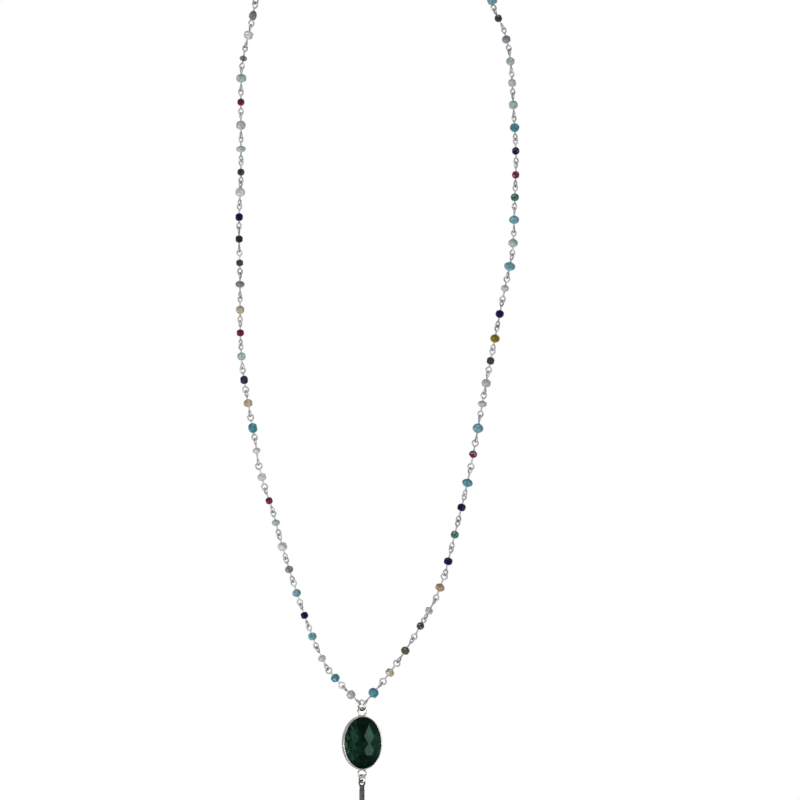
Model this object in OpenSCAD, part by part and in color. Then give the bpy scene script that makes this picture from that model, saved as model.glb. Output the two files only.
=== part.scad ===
// Long necklace of stone beads on wire links, with an oval bezel pendant and a slender metal drop.
// It hangs from the nape, which is the origin. +Z is up, +Y runs back into the neck, and +X is to
// the right as seen from the front. Left and right below are as seen from the front.

/* [Bead links] */
// Thickness of the wire of a bead link
link_wire = 0.45; // [0.4:0.05:0.5]
// Radius of a link's eye, to the middle of its wire
eye_r = 0.95; // [0.92:0.01:0.98]
// Free play between two wires that hang in each other without being joined
play = 0.1; // [0.08:0.01:0.12]
// Depth that two joined wires sink into each other
bite = 0.12; // [0.1:0.01:0.15]
// Size of the beads against the charted ones
bead_scale = 1; // [0.8:0.05:1]

/* [Loop] */
// Depth of the loop, from the hanging front back to the nape
loop_depth = 82; // [81:0.5:83]
// Sideways place of the pendant, which hangs a little off the middle
pendant_x = -4.7; // [-5:0.1:-4.4]
// Height of the top jump ring's middle below the nape
ring_drop = 326; // [325.5:0.1:326.3]

/* [Jump rings] */
// Radius of the top jump ring, to the middle of its wire
top_ring_r = 1.8; // [1.75:0.05:1.85]
// Radius of the lower jump ring, to the middle of its wire
lower_ring_r = 1.35; // [1.35:0.05:1.45]
// Thickness of the jump rings' wire
ring_wire = 0.7; // [0.6:0.05:0.7]
// Turn of the jump rings about the upright axis
ring_turn = -45; // [-50:1:-45]

/* [Pendant] */
// Width of the bezel
bezel_w = 14.4; // [14:0.1:15]
// Height of the bezel, without its eyes
bezel_h = 19.4; // [19:0.1:20]
// Depth of the bezel, front to back
bezel_d = 3.2; // [3.1:0.1:3.6]
// Thickness of the bezel's wall
bezel_wall = 0.3; // [0.3:0.05:0.4]
// Width of the lip that is turned in over the stone's edge, front and back
bezel_lip = 0.12; // [0.1:0.01:0.16]
// Thickness of the stone, over both domes
stone_d = 5.7; // [5.2:0.1:6.4]
// Radius of the top eye, to the middle of its wire
top_eye_r = 1.5; // [1.45:0.05:1.6]
// Radius of the bottom eye, to the middle of its wire
bottom_eye_r = 1.45; // [1.45:0.05:1.55]
// Turn of the pendant about the upright axis
pendant_turn = 14; // [12:1:16]

/* [Drop] */
// Width of the drop's round bar
drop_w = 2; // [1.9:0.1:2.2]
// Length of the drop below its eye
drop_length = 28; // [15:1:60]

/* [Clasp] */
// Length of the clasp's barrel
clasp_length = 12; // [11:0.5:13]
// Width of the clasp's barrel
clasp_w = 3.4; // [3:0.1:4]

/* [Hidden] */
$fn = 40;

// Beads of the left strand, from the ring up: distance from the one before, width, length along the wire
LEFT_CHART = [
    [4.1, 3.0, 2.8], [8.4, 2.9, 2.7], [8.6, 2.6, 2.2], [8.7, 2.8, 2.7], [8.1, 2.5, 2.4],
    [8.5, 3.0, 2.7], [8.9, 2.8, 2.6], [8.6, 3.2, 2.9], [8.9, 2.8, 2.2], [8.3, 2.4, 2.4],
    [8.9, 2.9, 2.6], [9.8, 2.6, 2.2], [8.3, 3.0, 3.4], [9.1, 3.0, 2.7], [8.5, 2.6, 2.9],
    [8.5, 2.8, 2.7], [8.5, 2.5, 2.4], [8.3, 2.8, 2.8], [9.2, 3.1, 2.3], [7.7, 2.4, 2.3],
    [8.6, 2.6, 2.5], [7.9, 2.8, 2.7], [9.0, 3.6, 3.1], [7.2, 2.4, 2.4], [8.3, 3.2, 2.2],
    [8.6, 3.2, 3.1], [8.3, 2.4, 2.4], [8.6, 3.4, 2.9], [7.2, 2.5, 1.9], [8.6, 3.2, 2.9],
    [7.3, 2.6, 3.3],
];
// Beads of the right strand, from the ring up, in the same columns
RIGHT_CHART = [
    [4.8, 3.5, 3.2], [9.4, 3.0, 2.6], [9.7, 2.9, 2.6], [10.4, 2.5, 2.5], [6.3, 2.7, 2.3],
    [9.3, 3.2, 2.8], [9.9, 2.9, 2.6], [9.9, 2.7, 2.6], [10.1, 2.8, 2.6], [9.1, 3.6, 2.9],
    [10.5, 2.8, 2.6], [9.5, 3.6, 3.4], [8.9, 3.1, 2.3], [7.6, 3.1, 2.8], [8.2, 2.6, 2.6],
    [8.2, 3.2, 2.9], [9.0, 2.9, 2.8], [9.4, 2.7, 2.2], [8.1, 3.8, 3.1], [8.5, 3.2, 3.0],
    [8.4, 3.5, 3.0], [8.1, 2.7, 2.6], [8.1, 2.6, 2.5], [8.6, 2.7, 2.6], [8.4, 3.5, 3.1],
    [8.2, 3.0, 2.9], [7.9, 2.6, 2.8], [7.8, 2.9, 3.0], [8.1, 2.9, 2.7], [8.2, 2.5, 2.5],
    [7.0, 3.4, 3.0],
];
// Sizes that the beads round the neck repeat: width, length along the wire
NAPE_CHART = [[3.4, 3.0], [2.5, 2.4], [3.0, 2.7], [2.8, 2.6], [3.2, 2.3]];
// Number of links round the neck, on each side of the clasp
NAPE_LINKS = 14;

// Places that the left strand passes on its way up: x, height
LEFT_FRONT = [
    [-8.7, -321.8], [-15, -316], [-19.3, -309], [-22.7, -301], [-28.4, -285], [-33.5, -268.5],
    [-38, -252], [-41.4, -243.5], [-42.5, -234], [-45.8, -217], [-48.2, -200], [-48.6, -172],
    [-49, -150], [-48.3, -138], [-48.2, -100], [-47.5, -92.5], [-45.4, -84.5], [-43.8, -77],
];
// Places that the right strand passes on its way up: x, height
RIGHT_FRONT = [
    [-0.2, -321.4], [5.5, -314], [11.3, -306], [16.6, -297], [23.7, -283.5], [28.8, -264],
    [33.4, -245.5], [36.4, -230], [40, -210], [43.3, -193.5], [46.8, -175.5], [49.5, -163],
    [50.3, -143], [50.8, -130], [49.8, -110], [48.8, -94], [47, -84], [43.9, -78.5], [42, -72],
];
// Plain way round the neck, from the front up to the nape: distance off the middle, y, height
ROUND_NECK = [[39.5, -77, -52], [38.5, -60, -30], [34, -32, -13], [23, -11, -3.5]];

// Sizes that the links share
NECK_WIRE_SHARE = 0.9;
BEAD_END_SHARE = 0.3;
BEAD_BELT_SHARE = 0.12;
SPAN_STEPS = 12;
// The first link of each strand is turned to take the ring, and the turn runs out over this many links
LEFT_TURN = -15;
RIGHT_TURN = -17;
TURN_LINKS = 12;
// Extra play of a link's eye on the ring or the clasp, because the wires cross at a slant there
HOOK_SLACK = 0.12;
// Links that are joined in one solid, at the front and round the neck
FRONT_RUN = 8;
NAPE_RUN = 5;
// Places round the top jump ring where the strands hang on it
LEFT_HOOK = 150;
RIGHT_HOOK = 30;

// Extra play of the bezel's eyes on the jump rings, because they cross at a slant and swing
RING_SLACK = 0.1;
DROP_SLACK = 0.05;

// Solder seats the bezel's eyes this far into its wall
EYE_SINK = 0.1;
// Space between the two lips, which holds the stone's edge
LIP_DEPTH = 0.35;
STONE_GAP = 0.05;
STONE_EDGE_SLACK = 0.2;
// Corner rows of the stone's crown: share of its height, share of the crown's rise, turn in degrees
STONE_SIDES = 16;
STONE_CUT = [[0.86, 0.46, 11.25], [0.64, 0.78, 0], [0.36, 1, 11.25]];

DROP_EYE_R = 1;
DROP_EYE_WIRE = 0.6;
CLASP_EYE_R = 1.1;
CLASP_EYE_WIRE = 0.5;
CLASP_EYE_SINK = 0.2;

front_y = -loop_depth;
wire_gap = ring_wire + play + RING_SLACK;
ring_z = -ring_drop;
top_eye_z = ring_z - top_ring_r + wire_gap - top_eye_r;
bezel_z = top_eye_z - top_eye_r + EYE_SINK - bezel_h / 2;
bottom_eye_z = bezel_z - bezel_h / 2 - bottom_eye_r + EYE_SINK;
lower_ring_z = bottom_eye_z - bottom_eye_r + wire_gap - lower_ring_r;
drop_eye_z = lower_ring_z - lower_ring_r + (ring_wire + DROP_EYE_WIRE) / 2 + play + DROP_SLACK - DROP_EYE_R;
clasp_eye_x = clasp_length / 2 + CLASP_EYE_R - CLASP_EYE_SINK;
clasp_reach = clasp_eye_x + CLASP_EYE_R;

function unit(v) = v / norm(v);
function last(v) = v[len(v) - 1];

// Running total of a list
function running(v) = [for (a = 0, i = 0; i < len(v); a = a + v[i], i = i + 1) a + v[i]];

// Distances along a row of points, from the first
function distances(p) = concat([0], running([for (i = [1:len(p) - 1]) norm(p[i] - p[i - 1])]));

// Smooth curve through the points p at the distances t
function slope(p, t, i) =
    let (a = max(i - 1, 0), b = min(i + 1, len(p) - 1)) (p[b] - p[a]) / (t[b] - t[a]);
function on_span(p, t, i, u) =
    let (h = t[i + 1] - t[i])
    p[i] * (2 * u ^ 3 - 3 * u ^ 2 + 1) + slope(p, t, i) * h * (u ^ 3 - 2 * u ^ 2 + u)
    + p[i + 1] * (3 * u ^ 2 - 2 * u ^ 3) + slope(p, t, i + 1) * h * (u ^ 3 - u ^ 2);
function smooth(p) =
    let (t = distances(p))
    concat([for (i = [0:len(p) - 2], k = [0:SPAN_STEPS - 1]) on_span(p, t, i, k / SPAN_STEPS)], [last(p)]);

// A track holds x, y and z against the distance along the curve
function track(points) =
    let (p = smooth(points), s = distances(p))
    [for (k = [0:2]) [for (i = [0:len(p) - 1]) [s[i], p[i][k]]]];
function at(track, s) = [for (k = [0:2]) lookup(s, track[k])];
function track_length(track) = last(track[0])[0];

// Point on the top jump ring's wire, at an angle round it
function on_ring(angle) =
    [pendant_x, front_y, ring_z]
    + top_ring_r * [cos(angle) * cos(ring_turn), cos(angle) * sin(ring_turn), sin(angle)];

// Whole way of a strand from the ring to the clasp; side is -1 for the left one and 1 for the right
function strand_way(side, hook, front) = concat(
    [on_ring(hook)],
    [for (p = front) [p[0], front_y, p[1]]],
    [for (p = ROUND_NECK) [side * p[0], p[1] * loop_depth / 82, p[2]]],
    [[side * clasp_reach, 0, 0]]
);

// Distance from a wire's middle to the eye of a link that hangs on it
function hold(wire) = eye_r - (link_wire + wire) / 2 - play - HOOK_SLACK;

// Turn of link i about its own line: neighbours stand across each other, with a slow wander
function link_turn(i, first_turn, seen) =
    90 * (i % 2)
    + first_turn * max(0, 1 - i / TURN_LINKS)
    + (i < seen ? 28 * sin(23 * i) + 7 * sin(97 * i) : 0);

// Distance from the join of two links to the middle of either eye: free at a run's end, else joined
function grip(free) = eye_r - (link_wire + (free ? play : -bite)) / 2;

// Does a run of joined links end before link i? Those round the neck make runs of their own.
function is_run_end(i, seen) = i < seen ? i % FRONT_RUN == 0 : (i - seen) % NAPE_RUN == 0;

// Links of a strand, each as [eye, eye, bead's place, turn, bead's width, bead's length].
// A link runs straight from one join to the next, and the joins lie halfway between the beads.
function strand_links(side, hook, front, chart, first_turn) =
    let (
        way = track(strand_way(side, hook, front)),
        total = track_length(way),
        seen = len(chart),
        charted = running([for (row = chart) row[0]]),
        step = (total - last(charted)) / (NAPE_LINKS + 0.5),
        stops = concat(charted, [for (k = [1:NAPE_LINKS]) last(charted) + k * step]),
        count = len(stops),
        joins = concat([0], [for (i = [1:count - 1]) (stops[i - 1] + stops[i]) / 2], [total]),
        points = [for (s = joins) at(way, s)]
    )
    [for (i = [0:count - 1])
        let (
            span = points[i + 1] - points[i],
            share = (stops[i] - joins[i]) / (joins[i + 1] - joins[i]),
            start = i == 0 ? hold(ring_wire) : grip(is_run_end(i, seen)),
            end = i == count - 1 ? hold(CLASP_EYE_WIRE) : grip(is_run_end(i + 1, seen)),
            size = i < seen ? [chart[i][1], chart[i][2]] : NAPE_CHART[i % len(NAPE_CHART)]
        )
        [
            points[i] + start * unit(span), points[i + 1] - end * unit(span),
            norm(span) * share - start, link_turn(i, first_turn, seen), size[0], size[1],
        ]
    ];

left_links = strand_links(-1, LEFT_HOOK, LEFT_FRONT, LEFT_CHART, LEFT_TURN);
right_links = strand_links(1, RIGHT_HOOK, RIGHT_FRONT, RIGHT_CHART, RIGHT_TURN);
left_seen = len(LEFT_CHART);
right_seen = len(RIGHT_CHART);

// Stands children on point a, with their Z towards b and their X turned from the front-to-back way
module along(a, b, turn) {
    z = unit(b - a);
    x = unit([0, 1, 0] - z[1] * z);
    y = cross(z, x);
    multmatrix([[x[0], y[0], z[0], a[0]], [x[1], y[1], z[1], a[1]], [x[2], y[2], z[2], a[2]]])
        rotate([0, 0, turn])
            children();
}

// Ring of wire that stands in the XZ plane
module wire_ring(radius, wire) {
    rotate([90, 0, 0])
        rotate_extrude()
            translate([radius, 0])
                circle(d = wire);
}

// One link: a straight wire with an eye at each end, from the middle of one eye to that of the other
module wire_link(length) {
    wire_ring(eye_r, link_wire);
    translate([0, 0, length])
        wire_ring(eye_r, link_wire);
    translate([0, 0, eye_r])
        cylinder(d = link_wire * NECK_WIRE_SHARE, h = length - 2 * eye_r);
}

// One bead with a flat belt and two flat ends, on its wire
module bead(width, length) {
    end = BEAD_END_SHARE * width;
    belt = BEAD_BELT_SHARE * length;
    rotate_extrude()
        polygon([
            [0, -length / 2], [end, -length / 2], [width / 2, -belt],
            [width / 2, belt], [end, length / 2], [0, length / 2],
        ]);
}

// Links of a strand with their beads, from one number up to another
module beaded_links(links, from, to, tint) {
    color(tint)
        for (i = [from:to]) {
            link = links[i];
            along(link[0], link[1], link[3]) {
                wire_link(norm(link[1] - link[0]));
                translate([0, 0, link[2]])
                    bead(link[4] * bead_scale, link[5] * bead_scale);
            }
        }
}

module left_strand() {
    beaded_links(left_links, 0, left_seen - 1, "cadetblue");
}

module right_strand() {
    beaded_links(right_links, 0, right_seen - 1, "mediumturquoise");
}

module nape_strand() {
    beaded_links(left_links, left_seen, len(left_links) - 1, "lightslategray");
    beaded_links(right_links, right_seen, len(right_links) - 1, "lightslategray");
}

// Plain barrel clasp at the nape, with an eye at each end
module clasp() {
    half = clasp_length / 2;
    color("silver") {
        rotate([0, 90, 0])
            rotate_extrude()
                polygon([
                    [0, -half], [clasp_w * 0.26, -half], [clasp_w / 2, -half * 0.6],
                    [clasp_w / 2, half * 0.6], [clasp_w * 0.26, half], [0, half],
                ]);
        for (side = [-1, 1])
            translate([side * clasp_eye_x, 0, 0])
                wire_ring(CLASP_EYE_R, CLASP_EYE_WIRE);
    }
}

// Hangs children on the line that the pendant hangs on, at a height and turned about it
module on_pendant_line(z, turn) {
    translate([pendant_x, front_y, z])
        rotate([0, 0, turn])
            children();
}

module top_ring() {
    color("silver")
        on_pendant_line(ring_z, ring_turn)
            wire_ring(top_ring_r, ring_wire);
}

// Upright oval plate round the Y axis
module oval_plate(width, height, depth) {
    rotate([90, 0, 0])
        linear_extrude(depth, center = true)
            scale([width / height, 1])
                circle(d = height);
}

// Oval wall with a lip at its front and back edge, and an eye at its top and bottom
module bezel() {
    wall = 2 * bezel_wall;
    lip = wall + 2 * bezel_lip;
    color("silver")
        on_pendant_line(bezel_z, pendant_turn)
            difference() {
                union() {
                    oval_plate(bezel_w, bezel_h, bezel_d);
                    translate([0, 0, top_eye_z - bezel_z])
                        wire_ring(top_eye_r, ring_wire);
                    translate([0, 0, bottom_eye_z - bezel_z])
                        wire_ring(bottom_eye_r, ring_wire);
                }
                oval_plate(bezel_w - lip, bezel_h - lip, bezel_d + 1);
                oval_plate(bezel_w - wall, bezel_h - wall, bezel_d - 2 * LIP_DEPTH);
            }
}

// Cut oval stone: a straight edge, and on both sides a crown of flat facets up to a small table
module stone() {
    width = bezel_w - 2 * bezel_wall - 2 * STONE_GAP;
    height = bezel_h - 2 * bezel_wall - 2 * STONE_GAP;
    edge = bezel_d / 2 - LIP_DEPTH - STONE_EDGE_SLACK;
    rise = stone_d / 2 - edge;
    color("darkgreen")
        on_pendant_line(bezel_z, pendant_turn)
            hull() {
                oval_plate(width, height, 2 * edge);
                for (row = STONE_CUT)
                    rotate([90, 0, 0])
                        linear_extrude(2 * (edge + row[1] * rise), center = true)
                            scale([width / height, 1])
                                rotate(row[2])
                                    circle(d = row[0] * height, $fn = STONE_SIDES);
            }
}

module lower_ring() {
    color("silver")
        on_pendant_line(lower_ring_z, ring_turn)
            wire_ring(lower_ring_r, ring_wire);
}

// Slender round bar with a cap, a soldered eye and a blunt end
module drop() {
    top = DROP_EYE_WIRE / 2;
    r = drop_w / 2;
    color("dimgray")
        on_pendant_line(drop_eye_z, pendant_turn) {
            wire_ring(DROP_EYE_R, DROP_EYE_WIRE);
            translate([0, 0, -DROP_EYE_R])
                rotate_extrude()
                    polygon([
                        [0, top], [0.7 * r, top], [r, 0], [r, -0.6], [0.88 * r, -0.75],
                        [0.88 * r, -1.05], [r, -1.2], [r, -drop_length + 0.8], [0.6 * r, -drop_length],
                        [0, -drop_length],
                    ]);
        }
}

left_strand();
right_strand();
nape_strand();
clasp();
top_ring();
bezel();
stone();
lower_ring();
drop();
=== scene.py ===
import math
import random

import bmesh
import bpy
from mathutils import Matrix, Vector


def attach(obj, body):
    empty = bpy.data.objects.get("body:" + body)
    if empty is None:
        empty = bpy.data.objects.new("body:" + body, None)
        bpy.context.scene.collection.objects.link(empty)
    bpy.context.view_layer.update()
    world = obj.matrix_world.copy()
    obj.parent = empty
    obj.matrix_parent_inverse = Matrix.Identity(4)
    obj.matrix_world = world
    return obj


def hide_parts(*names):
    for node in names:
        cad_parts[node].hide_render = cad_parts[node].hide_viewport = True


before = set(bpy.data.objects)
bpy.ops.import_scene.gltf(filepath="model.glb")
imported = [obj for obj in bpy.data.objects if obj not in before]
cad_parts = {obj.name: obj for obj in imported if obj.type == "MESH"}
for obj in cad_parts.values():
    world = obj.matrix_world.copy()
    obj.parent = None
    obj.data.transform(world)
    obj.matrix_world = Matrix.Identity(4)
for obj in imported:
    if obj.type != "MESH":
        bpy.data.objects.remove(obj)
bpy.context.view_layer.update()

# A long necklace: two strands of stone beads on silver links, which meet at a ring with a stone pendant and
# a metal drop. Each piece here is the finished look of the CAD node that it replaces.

# Sizes below are in millimetres, as the object is drawn, and MM brings them to the frame's metres
MM = 0.001
random_draws = random.Random(71)

# The two strands, as the object hangs: what the CAD says of their way, repeated here
LOOP_DEPTH = 82
PENDANT_X = -4.7
RING_Z = -326
TOP_RING_R = 1.8
RING_WIRE = 0.7
RING_TURN = math.radians(-45)
CLASP_LENGTH = 12
CLASP_EYE_R = 1.1
CLASP_EYE_WIRE = 0.5
CLASP_EYE_SINK = 0.2
CLASP_REACH = CLASP_LENGTH / 2 + 2 * CLASP_EYE_R - CLASP_EYE_SINK
# Links of each strand that lie round the neck, and steps of a strand's way from one given point to the next
NAPE_LINKS = 14
SPAN_STEPS = 12
# Where the first link of each strand hangs on the ring
LEFT_HOOK = math.radians(150)
RIGHT_HOOK = math.radians(30)
# Turn of each strand's first link in degrees, and the number of links over which it fades out
LEFT_TURN = -15
RIGHT_TURN = -17
TURN_LINKS = 12
# The seen links turn in waves on top of that: degrees of the wave, degrees of its way from link to link
WANDER = [(28, 23), (7, 97)]
# The links' eyes turn to this slant over the first few links, so that both eyes of a join are seen
EYE_SLANT = 45
SLANT_LINKS = 3

# Beads from the ring up: distance from the one before, width, length along the wire, stone, cut
LEFT_CHART = [
    (4.1, 3.0, 2.8, "warm_grey", "pebble"), (8.4, 2.9, 2.7, "deep_turquoise", "pebble"),
    (8.6, 2.6, 2.2, "cool_grey", "pebble"), (8.7, 2.8, 2.7, "turquoise", "pebble"),
    (8.1, 2.5, 2.4, "indigo", "round"), (8.5, 3.0, 2.7, "turquoise", "bicone"),
    (8.9, 2.8, 2.6, "mauve", "bicone"), (8.6, 3.2, 2.9, "moonstone", "pebble"),
    (8.9, 2.8, 2.2, "sage", "bicone"), (8.3, 2.4, 2.4, "garnet", "round"),
    (8.9, 2.9, 2.6, "moonstone", "pebble"), (9.8, 2.6, 2.2, "crystal", "bicone"),
    (8.3, 3.0, 3.4, "deep_turquoise", "pebble"), (9.1, 3.0, 2.7, "sand", "pebble"),
    (8.5, 2.6, 2.9, "night_blue", "round"), (8.5, 2.8, 2.7, "amazonite", "pebble"),
    (8.5, 2.5, 2.4, "garnet", "round"), (8.3, 2.8, 2.8, "sand", "pebble"),
    (9.2, 3.1, 2.3, "labradorite", "rondelle"), (7.7, 2.4, 2.3, "black", "round"),
    (8.6, 2.6, 2.5, "night_blue", "round"), (7.9, 2.8, 2.7, "indigo", "round"),
    (9.0, 3.6, 3.1, "moonstone", "pebble"), (7.2, 2.4, 2.4, "black", "round"),
    (8.3, 3.2, 2.2, "amazonite", "rondelle"), (8.6, 3.2, 3.1, "warm_grey", "pebble"),
    (8.3, 2.4, 2.4, "garnet", "round"), (8.6, 3.4, 2.9, "amazonite", "pebble"),
    (7.2, 2.5, 1.9, "labradorite", "rondelle"), (8.6, 3.2, 2.9, "moonstone", "pebble"),
    (7.3, 2.6, 3.3, "labradorite", "pebble"),
]
RIGHT_CHART = [
    (4.8, 3.5, 3.2, "deep_turquoise", "pebble"), (9.4, 3.0, 2.6, "sand", "pebble"),
    (9.7, 2.9, 2.6, "dark_olive", "round"), (10.4, 2.5, 2.5, "black", "round"),
    (6.3, 2.7, 2.3, "cool_grey", "pebble"), (9.3, 3.2, 2.8, "bronze", "bicone"),
    (9.9, 2.9, 2.6, "indigo", "round"), (9.9, 2.7, 2.6, "green", "round"),
    (10.1, 2.8, 2.6, "indigo", "round"), (9.1, 3.6, 2.9, "deep_turquoise", "bicone"),
    (10.5, 2.8, 2.6, "garnet", "bicone"), (9.5, 3.6, 3.4, "turquoise", "bicone"),
    (8.9, 3.1, 2.3, "cool_grey", "bicone"), (7.6, 3.1, 2.8, "warm_grey", "pebble"),
    (8.2, 2.6, 2.6, "black", "round"), (8.2, 3.2, 2.9, "olive", "bicone"),
    (9.0, 2.9, 2.8, "indigo", "bicone"), (9.4, 2.7, 2.2, "cool_grey", "pebble"),
    (8.1, 3.8, 3.1, "turquoise", "bicone"), (8.5, 3.2, 3.0, "sage", "bicone"),
    (8.4, 3.5, 3.0, "turquoise", "bicone"), (8.1, 2.7, 2.6, "green", "round"),
    (8.1, 2.6, 2.5, "garnet", "round"), (8.6, 2.7, 2.6, "indigo", "round"),
    (8.4, 3.5, 3.1, "deep_turquoise", "bicone"), (8.2, 3.0, 2.9, "amazonite", "pebble"),
    (7.9, 2.6, 2.8, "cool_grey", "pebble"), (7.8, 2.9, 3.0, "sage", "bicone"),
    (8.1, 2.9, 2.7, "mauve", "pebble"), (8.2, 2.5, 2.5, "black", "round"),
    (7.0, 3.4, 3.0, "turquoise", "pebble"),
]
# Beads round the neck repeat these: width, length, stone, cut
NAPE_CHART = [
    (3.4, 3.0, "turquoise", "bicone"), (2.5, 2.4, "garnet", "round"), (3.0, 2.7, "moonstone", "pebble"),
    (2.8, 2.6, "indigo", "round"), (3.2, 2.3, "amazonite", "rondelle"),
]
# Points of each strand's way up the front, x and z
LEFT_FRONT = [
    (-8.7, -321.8), (-15, -316), (-19.3, -309), (-22.7, -301), (-28.4, -285), (-33.5, -268.5),
    (-38, -252), (-41.4, -243.5), (-42.5, -234), (-45.8, -217), (-48.2, -200), (-48.6, -172),
    (-49, -150), (-48.3, -138), (-48.2, -100), (-47.5, -92.5), (-45.4, -84.5), (-43.8, -77),
]
RIGHT_FRONT = [
    (-0.2, -321.4), (5.5, -314), (11.3, -306), (16.6, -297), (23.7, -283.5), (28.8, -264),
    (33.4, -245.5), (36.4, -230), (40, -210), (43.3, -193.5), (46.8, -175.5), (49.5, -163),
    (50.3, -143), (50.8, -130), (49.8, -110), (48.8, -94), (47, -84), (43.9, -78.5), (42, -72),
]
# Points of the way round the neck: x to the strand's side, y and z
ROUND_NECK = [(39.5, -77, -52), (38.5, -60, -30), (34, -32, -13), (23, -11, -3.5)]

# Wire of the bead links: its eyes are loops, whose two legs meet at the stem
LINK_WIRE = 0.6
WIRE_SIDES = 10
LOOP_R = 1.0
LOOP_STEPS = 24
# Lowest and highest size of a loop, and the same of its width, as shares
LOOP_SIZES = (0.97, 1.03)
LOOP_WIDTHS = (0.9, 1.15)
# Loops are at most this wide on the links that hang further out than OUTER_X
SLIM_LOOPS = 0.8
OUTER_X = 47.8
# How far an eye reaches past its join: on the next link, on the ring and on the clasp's eye
LOOP_REACH = 0.32
RING_REACH = 0.88
CLASP_REACH_OUT = 0.77
# Distance from a loop's middle to where its legs meet, as a share of its radius
NECK_AT = 1.32
# Bend from the stem into a leg, in rows: down the stem and out along the leg from where the legs meet
BEND = 0.24
BEND_POINTS = [(BEND, 0), (0.4 * BEND, 0.08 * BEND), (0.02, 0.45 * BEND), (0, BEND)]
# The wire's tip stops this far from where the legs meet, and stands up to TIP_SWING to one side
TIP_GAP = 0.34
TIP_SWING = 0.16
# Rounded end of a wire: distance past its last point and radius, as shares of the wire's radius
WIRE_END = [(0.55, 0.83), (0.9, 0.45)]
# Rings: sides of their wire, steps round them, half their cut as a share of the wire, offset of its ends
RING_SIDES = 16
RING_STEPS = 44
SEAM_CUT = 0.55
SEAM_OFFSET = 0.04

# Cuts of the beads: rows of facets (latitude, number, distance from the middle), unevenness, and distance
# of the flat ends
BEAD_CUTS = {
    "round": ([(0, 8, 0.98), (37, 8, 0.985), (67, 5, 0.98)], 0.5, 0.95),
    "pebble": ([(0, 7, 0.97), (34, 7, 0.97), (64, 5, 0.97)], 1.0, 0.94),
    "bicone": ([(0, 8, 0.97), (36, 8, 0.92), (62, 6, 0.92)], 0.8, 0.95),
    "rondelle": ([(0, 9, 0.96), (40, 9, 0.95), (68, 6, 0.96)], 0.6, 0.92),
}
SHAPES_PER_CUT = 4
# Unevenness of a facet at most: latitude in degrees, longitude in radians, distance as a share
UNEVEN_LATITUDE = 6
UNEVEN_LONGITUDE = 0.13
UNEVEN_DISTANCE = 0.035
# Half-width of the cube that a bead of radius 1 is cut from, how near a plane a corner counts as on it, and
# the width of the bead's broken edges
ROUGH_SIZE = 1.3
ON_PLANE = 1e-6
EDGE_ROUNDING = 0.028
# Drilled hole: radius, depth and sides
BORE = 0.22
BORE_DEPTH = 0.45
BORE_SIDES = 12
# Beads sit askew by up to this many degrees
BEAD_TILT = 4
# Beads are this much fuller than the chart says, but no further out than these two sides of the loop
FULLNESS = 1.1
LEFT_LIMIT = 50.28
RIGHT_LIMIT = 51.98

# Pendant, measured down from the ring
PENDANT_TURN = math.radians(14)
TOP_EYE_R = 1.5
BOTTOM_EYE_R = 1.45
LOWER_RING_R = 1.35
EYE_SINK = 0.1
PLAY = 0.1
RING_SLACK = 0.1
DROP_SLACK = 0.05
BEZEL_W = 14.4
BEZEL_H = 19.4
BEZEL_STEPS = 168
# Where the jump rings are cut, round from their tops
TOP_SEAM = math.radians(55)
LOWER_SEAM = math.radians(-70)
# Solder at the foot of an eye: half-width, half-depth and height, and how far it sinks in the bezel
EYE_SADDLE = (0.85, 0.5, 0.26)
CLASP_SADDLE = (0.6, 0.45, 0.2)
SADDLE_SINK = 0.04
SADDLE_STEPS = 6
SADDLE_SIDES = 24
# Lower edge of the solder, inside the metal: share of its half-width, share of its height
SADDLE_FOOT = (1.08, -0.35)
# Slight dents round the bezel's wall: depth, number of waves, start
DENTS = [(0.012, 5, 1), (0.008, 13, 0)]
# The outer side of the wall, up to OUTER_SIDE in from the outline, is drawn in by DENT_ROOM
DENT_ROOM = 0.014
OUTER_SIDE = 0.2
# Section of the bezel's wall: distance in from the outline, place from front to back
BEZEL_FRONT = [
    (0.0, -0.5), (0.0, -0.9), (0.0, -1.28), (0.03, -1.44), (0.10, -1.55), (0.21, -1.595), (0.31, -1.57),
    (0.38, -1.48), (0.40, -1.35), (0.37, -1.23), (0.31, -1.15), (0.3, -0.6),
]
BEZEL_PROFILE = BEZEL_FRONT + [(inward, -y) for inward, y in reversed(BEZEL_FRONT)]
# Stone: depth over both domes, half the depth of its wall, distance in from the bezel's outline, half-axes
STONE_D = 5.7
STONE_EDGE = 1.05
STONE_INSET = 0.35
STONE_A = BEZEL_W / 2 - STONE_INSET
STONE_B = BEZEL_H / 2 - STONE_INSET
STONE_STEPS = 120
# Facets, as shares of the half-axes: place of the middle column, step from column to column, heights of rows
FACET_U = -0.05
FACET_STEP = 0.35
FACET_COLUMNS = range(-4, 5)
FACET_ROWS = {-4: -0.92, -3: -0.66, -2: -0.55, -1: -0.32, 0: -0.03, 1: 0.30, 2: 0.52, 4: 0.93}
# Facets wander by up to FACET_JITTER, apart from the two that catch the light, and end at FACET_REACH
FACET_JITTER = 0.02
LIT_FACETS = [(1, 1), (1, -1)]
FACET_REACH = 1.02
# Width of the facets' broken edges; a face that looks forward or back more than CROWN_SLOPE is in a dome,
# and one that does so less than WALL_SLOPE is in the wall
FACET_BEVEL = 0.035
CROWN_SLOPE = 0.3
WALL_SLOPE = 0.1
# The stone is cut from a slab that is thicker than it by this on both sides
SLAB_SPARE = 0.2
# Layer that holds each facet's painted shade and highlight: range, how much of it follows the facet's place
# sideways, and the painted highlight of the broken edges, which are the faces under an area in mm2
FACET_SHADE_LAYER = "depth"
FACET_SHADES = (0.35, 1.45)
SIDE_SHARE = 0.5
EDGE_HIGHLIGHT = 1.3
FACET_EDGE_AREA = 0.5
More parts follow.
